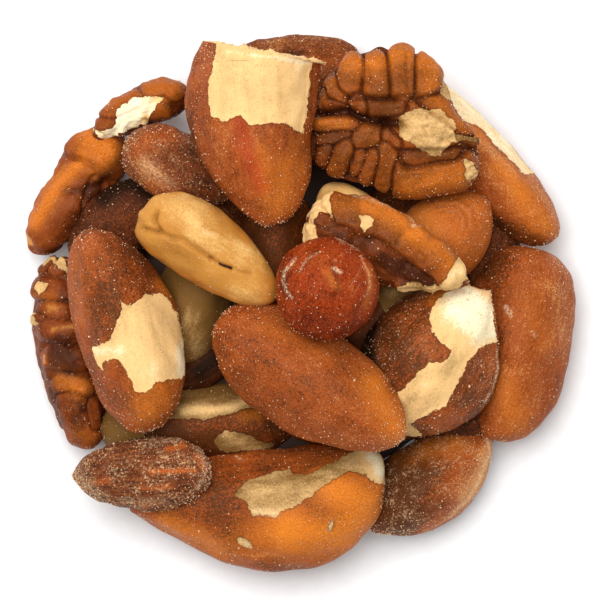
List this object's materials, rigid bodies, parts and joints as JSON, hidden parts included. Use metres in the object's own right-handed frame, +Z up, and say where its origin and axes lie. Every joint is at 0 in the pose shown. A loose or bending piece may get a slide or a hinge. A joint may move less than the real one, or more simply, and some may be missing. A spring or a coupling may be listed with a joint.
{
  "type": "heap of mixed nuts",
  "caption": "Low round heap of roasted salted mixed nuts: brazil nuts, almonds, hazelnuts, cashews and pecan pieces, lying loose on a flat surface.",
  "frame": {"origin": "on the surface that the heap lies on, under the middle of the heap", "axes": "+Z up out of the heap; +Y towards the broken brazil nut on its rim; +X to its right"},
  "size_m": [0.0911, 0.0897, 0.0357],
  "materials": {
    "brazil_nut": "satin brown skin with pale peeled patches",
    "almond": "dull brown grooved skin",
    "hazelnut": "smooth brown skin",
    "cashew": "satin toasted golden",
    "pecan": "satin grooved orange brown",
    "salt": "fine white grains"
  },
  "bodies": {
    "root": {"nut_heap": "brazil_nut"}
  },
  "joints": []
}
